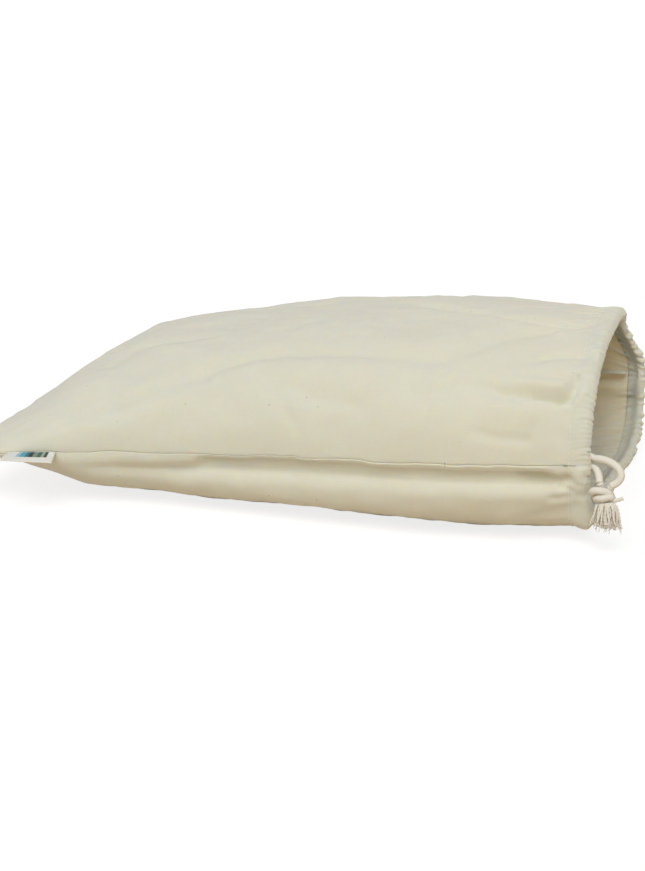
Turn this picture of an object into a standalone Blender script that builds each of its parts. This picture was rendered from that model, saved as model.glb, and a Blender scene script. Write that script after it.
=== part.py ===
"""Drawstring bag of natural cotton, lying filled on a surface with its mouth held open.

X runs along the bag from the closed end to the mouth, Z is up and the bag rests on z = 0.
The near long side, where the cord comes out of the casing, is at -Y.
Two cloth panels are sewn along both long sides and the closed end. Each panel's hem is folded
inside at the mouth and makes a casing, and one cord runs round the mouth inside both casings.
Table values are in millimetres and are multiplied by MM where a mesh is made.
"""

import math
import random

import bmesh
import bpy
import numpy as np
from mathutils import Vector

MM = 0.001

# Cloth, seams and casing
CLOTH = 1.0
GAP = 0.3
SEAM_ROLL = 1.6
FLAT_ROLL = 0.35
SEAM_ALLOWANCE = 7.0
CASING_WIDTH = 12.0
FOLD_RADIUS = 3.7
GATHER_DEPTH = 1.3
GATHER_REACH = 14.0

# Cord, knot, tassel and label
CORD_DIAMETER = 4.2
KNOT_CENTRE = (198.8, -113.4, 36.0)
KNOT_SIZE = (14.6, 9.0, 10.6)
TASSEL_HEAD = (10.4, 7.2, 3.6)
TASSEL_LENGTH = 13.5
TASSEL_CENTRE = (KNOT_CENTRE[0] + 1.2, KNOT_CENTRE[1], KNOT_CENTRE[2] - KNOT_SIZE[2] / 2 - 2.9)
TASSEL_CUTS = 5
TASSEL_SPREAD = 1.25
TASSEL_LEAN = 2.4
STRAND_INSET = 0.16
LABEL_WIDTH = 28.0
LABEL_REACH = 17.0
LABEL_THICKNESS = 1.0
LABEL_X = -148.0
LABEL_SKEW = 0.05
LABEL_DROOP = 0.09
LABEL_SAG = 0.0035

# Both ends of the bag lie a little askew: a point's X falls by this share of its Y. The far side
# of the mouth is set back at the top and reaches out by MOUTH_FLARE more at the seam and below
LEAN = 0.05
MOUTH_SETBACK = 4.5
MOUTH_FLARE = 13.5
FLARE_HEIGHT = 42.0
FLARE_START = 110.0

# Creases and inner layers fade to nothing over this arc from each side seam
EDGE_FADE = 14.0

# How far the round underside would reach below the surface that flattens it
BELLY_PRESS = 3.0

# Cross sections from the closed end to the mouth. half: half width. sway: middle of the width.
# seam, top, floor: heights. crown, belly: fullness of the upper and lower half, where 2 is an
# ellipse. tuck: how far the lower panel draws in just below the seams.
SECTION_COLUMNS = ("x", "half", "sway", "seam", "top", "floor", "crown", "belly", "tuck")
SECTIONS = (
    (-194, 143.0, 4, 34.0, 35.2, 32.8, 1.3, 1.3, 0.0),
    (-170, 139.0, 4, 35.0, 52.0, 14.5, 1.7, 1.75, 0.0),
    (-140, 133.0, 5, 36.0, 72.5, 4.0, 2.05, 2.25, 0.5),
    (-97, 124.0, 6, 37.0, 88.0, 0.0, 2.3, 2.7, 3.0),
    (-44, 120.0, 3, 40.0, 97.5, 0.0, 2.5, 3.0, 5.0),
    (34, 119.5, -2, 45.0, 109.5, 0.0, 2.5, 3.0, 6.0),
    (97, 121.0, -5, 48.5, 114.0, 0.0, 2.5, 3.0, 5.0),
    (150, 119.5, -1, 50.5, 112.5, 0.0, 2.4, 3.0, 5.0),
    (186, 114.5, 6, 50.5, 110.0, 0.0, 2.3, 3.0, 1.5),
)
TUCK_DROP = 9.0
TUCK_WIDTH = 6.0

# Creases of the upper panel. Each is a soft trough, or a ridge where the depth is negative, along
# points (x, arc up the panel from the near seam)
CREASE_COLUMNS = ("depth", "width", "points")
UPPER_CREASES = (
    (1.6, 9.0, ((69, 160), (95, 146), (123, 133), (140, 130), (164, 124))),
    (-1.2, 9.0, ((75, 146), (105, 131), (140, 118), (160, 112))),
    (1.8, 9.0, ((145, 111), (125, 97), (114, 84), (97, 68), (67, 70), (11, 73))),
    (1.8, 9.0, ((-10, 73), (-38, 62), (-56, 49), (-75, 40), (-92, 27), (-108, 26))),
    (-1.5, 10.0, ((40, 56), (-10, 57), (-40, 46), (-62, 34))),
    (1.4, 7.0, ((172, 77), (157, 75), (139, 69))),
    (2.6, 8.0, ((115, 50), (134, 46), (156, 44), (171, 41))),
    (-1.2, 8.0, ((120, 34), (150, 29), (168, 27))),
    (1.2, 7.0, ((126, 18), (148, 14))),
    (1.6, 9.0, ((-122, 81), (-113, 106), (-76, 106))),
    (1.0, 7.0, ((-17, 54), (5, 36))),
    (1.0, 7.0, ((11, 21), (23, 15))),
    (1.4, 10.0, ((-60, 175), (10, 190), (80, 205), (130, 200))),
    (1.6, 9.0, ((150, 240), (120, 232), (70, 240))),
)
LOWER_CREASES = (
    (1.6, 8.0, ((110, 34), (140, 30), (168, 33))),
    (1.4, 9.0, ((-120, 20), (-95, 28), (-60, 26))),
    (1.6, 9.0, ((160, 258), (110, 264), (60, 256))),
)

# Grid of a panel: columns across the body, twice as many across the mouth
UPPER_COLUMNS = 28
LOWER_COLUMNS = 24
BODY_ROWS = 22
MOUTH_START = 150.0
SIDE_SEAM_START = 30.0
FOLD_STEPS = 5

# Where the casing stays open for the cord, and where the cord enters it, as arc up or down from
# the near seam
UPPER_SLIT = 17.0
LOWER_SLIT = 15.0
CORD_ENTRY = 20.0

# Free ends of the cord, from the knot to the upper casing and from the lower casing to the knot
UPPER_STRAND = (
    (204.0, -113.5, 41.0), (207.3, -113.2, 43.2), (209.3, -112.7, 46.4), (208.6, -111.9, 49.6),
    (206.3, -110.9, 52.0), (203.2, -109.5, 53.4), (199.6, -108.0, 54.2), (196.0, -106.7, 54.3),
    (193.1, -105.2, 54.0), (190.6, -104.7, 54.6), (188.6, -104.7, 56.1), (187.4, -104.8, 58.6),
    (187.1, -104.4, 62.4), (187.1, -103.5, 66.2),
)
LOWER_STRAND = (
    (187.1, -104.5, 32.6), (187.1, -104.6, 37.0), (187.1, -104.6, 41.4), (187.9, -104.5, 45.2),
    (190.0, -104.5, 47.9), (192.6, -104.8, 48.5), (195.0, -106.6, 46.8), (196.6, -109.2, 44.2),
    (197.4, -111.6, 41.7),
)
CORD_SAMPLES = 79
CORD_SETBACK = 0.4

SECTION_TABLE = np.array(SECTIONS, float)
CLOSED_X = SECTION_TABLE[0, 0]
MOUTH_X = SECTION_TABLE[-1, 0]
STITCH_X = MOUTH_X - CASING_WIDTH


def section_at(x):
    """Sizes of the cross section at x, on a smooth curve through the table."""
    stations = SECTION_TABLE[:, 0]
    row = int(np.clip(np.searchsorted(stations, x) - 1, 0, len(stations) - 2))
    span = stations[row + 1] - stations[row]
    t = float(np.clip((x - stations[row]) / span, 0.0, 1.0))
    sizes = {}
    for column, name in enumerate(SECTION_COLUMNS[1:], start=1):
        values = SECTION_TABLE[:, column]
        slopes = np.gradient(values, stations)
        sizes[name] = ((2 * t**3 - 3 * t**2 + 1) * values[row] + (t**3 - 2 * t**2 + t) * span * slopes[row]
                       + (3 * t**2 - 2 * t**3) * values[row + 1] + (t**3 - t**2) * span * slopes[row + 1])
    return sizes


def smooth_step(value, low, high):
    t = float(np.clip((value - low) / (high - low), 0.0, 1.0))
    return t * t * (3 - 2 * t)


def panel_curve(x, side, roll):
    """Outline (y, z) of one panel at x, near seam to far seam. side is 1 for the upper panel."""
    size = section_at(x)
    angle = np.linspace(0.0, math.pi, 241)
    cosine = np.cos(angle)
    sine = np.abs(np.sin(angle))
    power = 2.0 / (size["crown"] if side > 0 else size["belly"])
    y = size["sway"] - size["half"] * np.sign(cosine) * np.abs(cosine) ** power
    edge = size["seam"] + side * (GAP / 2 + roll)
    if side > 0:
        return y, edge + (max(size["top"], edge + 0.2) - edge) * sine**power
    floor = max(size["floor"], 0.0)
    press = BELLY_PRESS * smooth_step(4.0 - floor, 0.0, 4.0)
    z = np.maximum(edge - (edge - min(floor, edge - 0.2) + press) * sine**power, floor)
    z = np.minimum(z, edge)
    drop = edge - z
    start = np.clip(drop / TUCK_DROP, 0.0, 1.0) ** 2
    draw_in = size["tuck"] * start * np.exp(-(((drop - TUCK_DROP) / TUCK_WIDTH) ** 2))
    return y + np.sign(cosine) * draw_in, z


def crease_depth(creases, x, arc):
    """Depth of all creases of a panel at the point x, arc."""
    total = 0.0
    for row in creases:
        crease = dict(zip(CREASE_COLUMNS, row))
        nearest = math.inf
        for (ax, ay), (bx, by) in zip(crease["points"], crease["points"][1:]):
            run = (bx - ax, by - ay)
            t = ((x - ax) * run[0] + (arc - ay) * run[1]) / (run[0] ** 2 + run[1] ** 2)
            t = min(max(t, 0.0), 1.0)
            nearest = min(nearest, math.hypot(x - ax - t * run[0], arc - ay - t * run[1]))
        total += crease["depth"] * math.exp(-((nearest / crease["width"]) ** 2))
    return total


def gather(column, side):
    """Uneven gathers round the mouth, from 0 to 1."""
    wave = math.sin(2.5 * column + 1.4 * math.sin(0.83 * column + side))
    return 0.5 + 0.35 * wave + 0.15 * math.sin(1.13 * column + 0.7)


def askew(x, y, z):
    """The point of section x at (y, z), with both ends of the bag lying askew."""
    size = section_at(x)
    reach = smooth_step(x, FLARE_START, MOUTH_X) * smooth_step(y, 0.0, size["half"])
    flare = MOUTH_FLARE * (1.0 - smooth_step(z, size["seam"], size["seam"] + FLARE_HEIGHT))
    return (x - LEAN * y + (flare - MOUTH_SETBACK) * reach, y, z)


def panel_row(x, side, roll, count, inset=0.0, creases=()):
    """Points across one panel at x, evenly spread, moved in by inset and by the creases."""
    y, z = panel_curve(x, side, roll)
    steps = np.hypot(np.diff(y), np.diff(z))
    arc = np.concatenate([[0.0], np.cumsum(steps)])
    wanted = np.linspace(0.0, arc[-1], count + 1)
    row_y = np.interp(wanted, arc, y)
    row_z = np.interp(wanted, arc, z)
    slope_y = np.interp(wanted, arc, np.gradient(y, arc))
    slope_z = np.interp(wanted, arc, np.gradient(z, arc))
    length = np.hypot(slope_y, slope_z)
    points = []
    for index, along in enumerate(wanted):
        normal_y = -side * slope_z[index] / length[index]
        normal_z = side * slope_y[index] / length[index]
        edge_fade = min(1.0, along / EDGE_FADE, (arc[-1] - along) / EDGE_FADE)
        move = inset + crease_depth(creases, x, along) * edge_fade
        point_y = row_y[index] - normal_y * move
        point_z = max(row_z[index] - normal_z * move, 0.0)
        points.append(askew(x, point_y, point_z))
    return points


def casing_path():
    """Rows of the casing as (x, inset, gather, folded): outer cloth, rim fold, hem inside."""
    centre = MOUTH_X - FOLD_RADIUS
    rows = []
    for step in (1, 2, 3):
        rows.append((STITCH_X + (centre - STITCH_X) * step / 3, 0.0, -1.0, False))
    for step in range(1, FOLD_STEPS + 1):
        angle = math.pi * step / FOLD_STEPS
        x = centre + FOLD_RADIUS * math.sin(angle)
        inset = FOLD_RADIUS * (1 - math.cos(angle))
        rows.append((x, inset, -math.cos(angle), step > 1))
    hem_end = 2 * CLOTH + GAP
    for back, share in ((3.0, 0.94), (6.5, 0.45), (9.5, 0.0)):
        rows.append((centre - back, hem_end + (2 * FOLD_RADIUS - hem_end) * share, share, True))
    return rows


def body_stations():
    """Row positions from the closed end to the stitch line, and the range with a side seam."""
    first = CLOSED_X + SIDE_SEAM_START
    last = STITCH_X - 3.0
    middle = [first + (last - first) * (step / BODY_ROWS) for step in range(BODY_ROWS + 1)]
    return [CLOSED_X, CLOSED_X + 5, CLOSED_X + 11, CLOSED_X + 18, first - 4] + middle + [STITCH_X]


def quad_strip(faces, lower, upper):
    """Faces between two rows of vertices. Where one row has twice the other's, five sides meet."""
    if len(lower) == len(upper):
        for a, b, c, d in zip(lower, lower[1:], upper[1:], upper):
            faces.append((a, b, c, d))
        return
    for index in range(len(lower) - 1):
        fine = upper[2 * index:2 * index + 3]
        faces.append((lower[index], lower[index + 1], fine[2], fine[1], fine[0]))


def build_panel(name, side, columns, creases, slit, material):
    """One cloth panel as a sheet of faces on its outer surface, thickened inwards."""
    points = []
    faces = []

    def add_row(row):
        start = len(points)
        points.extend(row)
        return list(range(start, start + len(row)))

    stations = body_stations()
    seamed = [x for x in stations if CLOSED_X + SIDE_SEAM_START <= x < STITCH_X]
    previous = None
    near_strip = []
    far_strip = []
    for x in stations:
        rolled = x in seamed
        fine = x > MOUTH_START
        count = columns * (2 if fine else 1)
        roll = SEAM_ROLL if rolled else FLAT_ROLL if fine else CLOTH
        fade = math.exp(-(STITCH_X - x) / GATHER_REACH) if fine else 0.0
        row = gathered_row(x, side, roll, count, 0.0, -fade, creases)
        indices = add_row(row)
        if previous:
            quad_strip(faces, previous, indices)
        previous = indices
        if rolled:
            near_strip.append((indices[0], add_row(seam_strip(x, side, -1))))
            far_strip.append((indices[-1], add_row(seam_strip(x, side, 1))))

    for strip, order in ((near_strip, -1), (far_strip, 1)):
        for (edge_a, strip_a), (edge_b, strip_b) in zip(strip, strip[1:]):
            row_a = [edge_a] + strip_a
            row_b = [edge_b] + strip_b
            if order < 0:
                row_a.reverse()
                row_b.reverse()
            quad_strip(faces, row_a, row_b)

    count = columns * 2
    open_columns = int(math.ceil(slit / panel_length(STITCH_X, side) * count))
    for x, inset, share, folded in casing_path():
        row = gathered_row(x, side, FLAT_ROLL, count, inset, share, creases)
        if inset > 0 and not folded:
            edge = gathered_row(MOUTH_X, side, FLAT_ROLL, count, 0.0, -1.0, creases)
            row[:open_columns] = edge[:open_columns]
        indices = add_row(row)
        first = open_columns if folded else 0
        quad_strip(faces, previous[first:], indices[first:])
        previous = indices
    return sheet_object(name, points, faces, side, material)


def panel_length(x, side):
    y, z = panel_curve(x, side, FLAT_ROLL)
    return float(np.hypot(np.diff(y), np.diff(z)).sum())


def gathered_row(x, side, roll, count, inset, share, creases):
    """A row of the mouth with its gathers; share says how far and which way they stand."""
    row = panel_row(x, side, roll, count, inset, creases)
    flat = panel_row(x, side, roll, count, inset + share, creases)
    points = []
    for column, (point, moved) in enumerate(zip(row, flat)):
        amount = GATHER_DEPTH * gather(column, side) * math.sin(math.pi * column / count) ** 0.3
        mixed = [a + (b - a) * amount for a, b in zip(point, moved)]
        mixed[2] = max(mixed[2], 0.0)
        points.append(tuple(mixed))
    return points


def seam_strip(x, side, end):
    """The rolled edge and the seam allowance inside the bag, from the edge inwards."""
    size = section_at(x)
    edge_y = size["sway"] + end * size["half"]
    level = size["seam"] + side * GAP / 2
    turn = SEAM_ROLL * (1 - math.sqrt(0.5))
    offsets = ((turn, turn), (SEAM_ROLL, 0.0), (SEAM_ROLL + SEAM_ALLOWANCE, 0.0))
    row = []
    for inward, rise in offsets:
        y = edge_y - end * inward
        row.append(askew(x, y, level + side * rise))
    return row


def sheet_object(name, points, faces, side, material):
    """Make the sheet's mesh with its faces outwards and give it its thickness."""
    mesh = bpy.data.meshes.new(name)
    used = sorted({index for face in faces for index in face})
    place = {old: new for new, old in enumerate(used)}
    vertices = [Vector(points[index]) * MM for index in used]
    mesh.from_pydata(vertices, [], [tuple(place[index] for index in face) for face in faces])
    if side > 0:
        mesh.flip_normals()
    mesh.validate()
    obj = bpy.data.objects.new(name, mesh)
    bpy.context.scene.collection.objects.link(obj)
    thicken = obj.modifiers.new("Cloth", "SOLIDIFY")
    thicken.thickness = CLOTH * MM
    thicken.offset = -1.0
    thicken.use_even_offset = False
    thicken.use_quality_normals = True
    finish(obj, material)
    return obj


def finish(obj, material):
    obj.data.materials.append(material)
    if obj.type == "MESH":
        obj.data.shade_smooth()


def make_material(name, colour, roughness):
    material = bpy.data.materials.new(name)
    material.use_nodes = True
    shader = material.node_tree.nodes["Principled BSDF"]
    shader.inputs["Base Color"].default_value = (*colour, 1.0)
    shader.inputs["Roughness"].default_value = roughness
    shader.inputs["Metallic"].default_value = 0.0
    return material


def smooth_route(points, count):
    """Points at even spacing along a Catmull-Rom curve through the given ones."""
    route = np.array(points, float)
    padded = np.vstack([2 * route[0] - route[1], route, 2 * route[-1] - route[-2]])
    fine = []
    for index in range(1, len(padded) - 2):
        a, b, c, d = padded[index - 1:index + 3]
        for t in np.linspace(0.0, 1.0, 12, endpoint=False):
            fine.append(0.5 * (2 * b + (c - a) * t + (2 * a - 5 * b + 4 * c - d) * t**2
                               + (3 * b - a - 3 * c + d) * t**3))
    fine.append(route[-1])
    fine = np.array(fine)
    steps = np.linalg.norm(np.diff(fine, axis=0), axis=1)
    arc = np.concatenate([[0.0], np.cumsum(steps)])
    wanted = np.linspace(0.0, arc[-1], count)
    return np.stack([np.interp(wanted, arc, fine[:, axis]) for axis in range(3)], axis=1)


def cord_route():
    """The whole cord: knot, upper strand, both casings round the mouth, lower strand, knot."""
    x = MOUTH_X - FOLD_RADIUS - CORD_SETBACK
    columns = 2 * UPPER_COLUMNS
    upper = panel_row(x, 1, FLAT_ROLL, columns, FOLD_RADIUS)
    lower = panel_row(x, -1, FLAT_ROLL, columns, FOLD_RADIUS)
    upper_first = int(math.ceil(CORD_ENTRY / panel_length(x, 1) * columns))
    lower_first = int(math.ceil(CORD_ENTRY / panel_length(x, -1) * columns))
    around = upper[upper_first:-1:2] + lower[:lower_first - 1:-1][1::2]
    return list(UPPER_STRAND) + around + list(LOWER_STRAND)


def build_drawstring(material):
    curve = bpy.data.curves.new("drawstring", "CURVE")
    curve.dimensions = "3D"
    curve.bevel_depth = CORD_DIAMETER / 2 * MM
    curve.bevel_resolution = 2
    curve.use_fill_caps = True
    points = smooth_route(cord_route(), CORD_SAMPLES)
    spline = curve.splines.new("POLY")
    spline.points.add(len(points) - 1)
    for target, point in zip(spline.points, points):
        target.co = (*(Vector(point) * MM), 1.0)
    obj = bpy.data.objects.new("drawstring", curve)
    bpy.context.scene.collection.objects.link(obj)
    finish(obj, material)
    return obj


def knot_path(count):
    """Middle line of an overhand knot: a closed path of three lobes."""
    angles = np.linspace(0.0, 2 * math.pi, count, endpoint=False)
    across = (np.sin(angles) + 2 * np.sin(2 * angles)) / 2.76
    along = (np.cos(angles) - 2 * np.cos(2 * angles)) / 2.6
    half = [size / 2 - CORD_DIAMETER / 2 for size in KNOT_SIZE]
    return np.stack([across * half[0], -np.sin(3 * angles) * half[1], along * half[2]], axis=1)


def build_knot(material):
    """The drawn-tight knot: a ball pushed out to the outer side of the cord's turns."""
    turns = knot_path(120)
    radius = CORD_DIAMETER / 2
    mesh = bmesh.new()
    bmesh.ops.create_uvsphere(mesh, u_segments=22, v_segments=14, radius=1.0)
    for vert in mesh.verts:
        direction = np.array(vert.co.normalized())
        along = turns @ direction
        room = radius**2 - (turns**2).sum(axis=1) + along**2
        hit = room > 0
        reach = (along[hit] + np.sqrt(room[hit])).max() if hit.any() else radius
        vert.co = (Vector(direction) * max(reach, radius) + Vector(KNOT_CENTRE)) * MM
    bmesh.ops.recalc_face_normals(mesh, faces=mesh.faces)
    data = bpy.data.meshes.new("knot")
    mesh.to_mesh(data)
    mesh.free()
    obj = bpy.data.objects.new("knot", data)
    bpy.context.scene.collection.objects.link(obj)
    finish(obj, material)
    return obj


def build_tassel(material):
    """Frayed ends: a small head with one strand drawn out of each face of its underside."""
    rng = random.Random(11)
    mesh = bmesh.new()
    bmesh.ops.create_cube(mesh, size=1.0)
    bmesh.ops.subdivide_edges(mesh, edges=mesh.edges[:], cuts=TASSEL_CUTS, use_grid_fill=True)
    bottom = [face for face in mesh.faces if face.normal.z < -0.9]
    for vert in mesh.verts:
        ball = vert.co.normalized() * 0.62
        vert.co = vert.co.lerp(ball, 0.6) * Vector(TASSEL_HEAD)
    for face in bottom:
        draw_strand(mesh, face, rng)
    for vert in mesh.verts:
        vert.co = (vert.co + Vector(TASSEL_CENTRE)) * MM
    bmesh.ops.recalc_face_normals(mesh, faces=mesh.faces)
    data = bpy.data.meshes.new("tassel")
    mesh.to_mesh(data)
    mesh.free()
    obj = bpy.data.objects.new("tassel", data)
    bpy.context.scene.collection.objects.link(obj)
    finish(obj, material)
    return obj


def draw_strand(mesh, face, rng):
    """Inset a face and extrude it down and outwards in three steps."""
    root = face.calc_center_median()
    bmesh.ops.inset_individual(mesh, faces=[face], thickness=STRAND_INSET)
    spread = Vector((root.x * TASSEL_SPREAD + TASSEL_LEAN, root.y, 0.0))
    length = TASSEL_LENGTH * rng.uniform(0.8, 1.0) * (1.0 - 0.004 * root.x**2)
    lean = Vector((rng.uniform(-0.25, 0.25), rng.uniform(-0.25, 0.25), 0.0))
    tip = face
    for share, curve in ((0.35, 0.25), (0.7, 0.62), (1.0, 1.0)):
        extruded = bmesh.ops.extrude_discrete_faces(mesh, faces=[tip])
        tip = extruded["faces"][0]
        centre = root + (spread + lean) * curve + Vector((0, 0, -length * share))
        shift = centre - tip.calc_center_median()
        for vert in tip.verts:
            vert.co += shift


def build_label(material):
    """A folded tape caught in the near side seam: thin at the seam, round at its fold."""
    half = LABEL_THICKNESS / 2
    reach = LABEL_REACH - half
    side = [(-0.4, 0.15), (1.1, half), (LABEL_REACH / 2, half)]
    fold = [(reach + half * math.sin(a), half * math.cos(a)) for a in np.linspace(0, math.pi, 5)]
    profile = side + fold + [(out, -height) for out, height in reversed(side)]
    mesh = bmesh.new()
    rings = []
    for share in np.linspace(-0.5, 0.5, 5):
        x = LABEL_X + share * LABEL_WIDTH
        size = section_at(x)
        root_y = size["sway"] - size["half"]
        station = x - LEAN * root_y
        ring = []
        for out, height in profile:
            drop = LABEL_DROOP * max(out, 0.0) + LABEL_SAG * max(out, 0.0) ** 2
            point = Vector((station + LABEL_SKEW * out, root_y - out, size["seam"] + height - drop))
            ring.append(mesh.verts.new(point * MM))
        rings.append(ring)
    count = len(profile)
    for first, second in zip(rings, rings[1:]):
        for index in range(count):
            following = (index + 1) % count
            mesh.faces.new((first[index], first[following], second[following], second[index]))
    mesh.faces.new(rings[0][::-1])
    mesh.faces.new(rings[-1])
    bmesh.ops.recalc_face_normals(mesh, faces=mesh.faces)
    data = bpy.data.meshes.new("label")
    mesh.to_mesh(data)
    mesh.free()
    obj = bpy.data.objects.new("label", data)
    bpy.context.scene.collection.objects.link(obj)
    finish(obj, material)
    return obj


def main():
    for obj in list(bpy.data.objects):
        bpy.data.objects.remove(obj, do_unlink=True)
    cotton = make_material("natural_cotton", (0.74, 0.69, 0.58), 0.9)
    cord = make_material("cotton_cord", (0.76, 0.72, 0.63), 0.85)
    tape = make_material("label_tape", (0.82, 0.82, 0.78), 0.6)
    build_panel("upper_panel", 1, UPPER_COLUMNS, UPPER_CREASES, UPPER_SLIT, cotton)
    build_panel("lower_panel", -1, LOWER_COLUMNS, LOWER_CREASES, LOWER_SLIT, cotton)
    build_drawstring(cord)
    build_knot(cord)
    build_tassel(cord)
    build_label(tape)


main()
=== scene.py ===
"""Drawstring bag of natural cotton: its cloth, cord, knot, tassel and label, on a pale floor.

X runs along the bag from the closed end to the mouth, Z is up and the bag rests on z = 0. The near
long side, where the cord comes out of the casing, is at -Y. Table values are in millimetres and
are multiplied by MM where a mesh is made.
"""

import math

import bpy
import numpy as np
from bpy.props import FloatProperty, FloatVectorProperty, PointerProperty
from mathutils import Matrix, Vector


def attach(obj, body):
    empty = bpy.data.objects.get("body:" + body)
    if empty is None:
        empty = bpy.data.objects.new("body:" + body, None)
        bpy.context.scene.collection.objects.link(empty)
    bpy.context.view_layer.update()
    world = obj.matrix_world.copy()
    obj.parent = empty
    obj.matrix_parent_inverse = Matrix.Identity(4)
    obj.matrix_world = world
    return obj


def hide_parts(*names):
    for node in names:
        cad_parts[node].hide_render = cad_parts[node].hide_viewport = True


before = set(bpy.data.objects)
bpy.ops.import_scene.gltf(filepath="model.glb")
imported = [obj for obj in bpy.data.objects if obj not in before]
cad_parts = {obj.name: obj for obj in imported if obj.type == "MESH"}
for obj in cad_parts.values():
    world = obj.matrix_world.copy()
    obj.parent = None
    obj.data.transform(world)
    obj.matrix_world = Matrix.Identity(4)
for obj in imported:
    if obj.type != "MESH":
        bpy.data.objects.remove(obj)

bl_info = {
    "name": "Drawstring bag",
    "version": (1, 0, 0),
    "blender": (4, 5, 0),
    "location": "3D View > Sidebar > Bag",
    "description": "Makes the cloth, cord, tassel and label of a cotton drawstring bag",
    "category": "Object",
}

MM = 0.001

# Seams: gap between the panels, radius of their rolled edges along the sides, at the casing and at
# the closed end, where the lower one's grows, the stretches where they start and stop, the angles
# of their rows, and the allowance inside with the pull at its corners
GAP = 0.08
SEAM_ROLL = 0.8
FLAT_ROLL = -0.35
END_ROLL = 0.5
ROLL_GROWS = (-10.0, 80.0)
ROLL_START = 26.0
ROLL_STOP = 6.0
ROLL_ANGLES = (22, 45, 67, 90)
SEAM_ALLOWANCE = 7.0
CORNER_PULL = 0.93

# Casing: its width, radius of its fold outside and inside, how blunt the fold is, how far the rim
# is drawn in and reaches out, how far in the hem ends, how the cloth rises at the stitches and puffs
# beyond them, how both fade at the seams, and how deep a valley may be over the cord
CASING_WIDTH = 12.0
FOLD_RADIUS = 3.7
INNER_RADIUS = 3.3
RIM_POINT = 2.4
RIM_DRAW = 0.2
RIM_REACH = 2.8
HEM_INSET = 0.85
CASING_RISE = 0.3
RISE_SPAN = (2.4, 0.6)
CASING_PUFF = 0.3
CASING_ENDS = 6.0
DEEPEST_VALLEY = 0.6

# Body: width of the flat cloth, how hard the belly presses on the surface and from which height,
# the least height of a panel over its edge, how creases fade out towards the seams, the lowest
# level of the cloth, and the points of a section's outline
FLAT_WIDTH = 300.0
BELLY_PRESS = 3.0
PRESS_HEIGHT = 4.0
LEAST_RISE = 0.2
EDGE_FADE = 14.0
FLOOR_LEVEL = 0.04
CURVE_POINTS = 241

# Both ends of the bag lie askew, and the far side of the mouth reaches out more at the seam
LEAN = 0.05
MOUTH_SETBACK = 4.5
MOUTH_FLARE = 13.5
FLARE_HEIGHT = 42.0
FLARE_START = 110.0

# Cross sections from the closed end to the mouth. half: half width. sway: middle of the width.
# seam, top, floor: heights. crown, belly: fullness of the upper and lower half, where 2 is an
# ellipse. tuck: how far the lower panel draws in just below the seams.
SECTION_COLUMNS = ("x", "half", "sway", "seam", "top", "floor", "crown", "belly", "tuck")
SECTIONS = (
    (-194, 143.0, 4, 34.0, 35.2, 32.8, 1.3, 1.3, 0.0),
    (-170, 139.0, 4, 35.0, 52.0, 14.5, 1.7, 1.75, 0.0),
    (-140, 133.0, 5, 36.0, 72.5, 4.0, 2.05, 2.25, 0.5),
    (-97, 124.0, 6, 37.0, 88.0, 0.0, 2.3, 2.7, 3.0),
    (-44, 120.0, 3, 40.0, 97.5, 0.0, 2.5, 3.0, 5.0),
    (34, 119.5, -2, 45.0, 109.5, 0.0, 2.5, 3.0, 6.0),
    (97, 121.0, -5, 48.5, 114.0, 0.0, 2.5, 3.0, 5.0),
    (150, 119.5, -1, 50.5, 112.5, 0.0, 2.4, 3.0, 5.0),
    (186, 114.5, 6, 50.5, 110.0, 0.0, 2.3, 3.0, 1.5),
)
TUCK_DROP = 9.0
TUCK_WIDTH = 6.0

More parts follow.
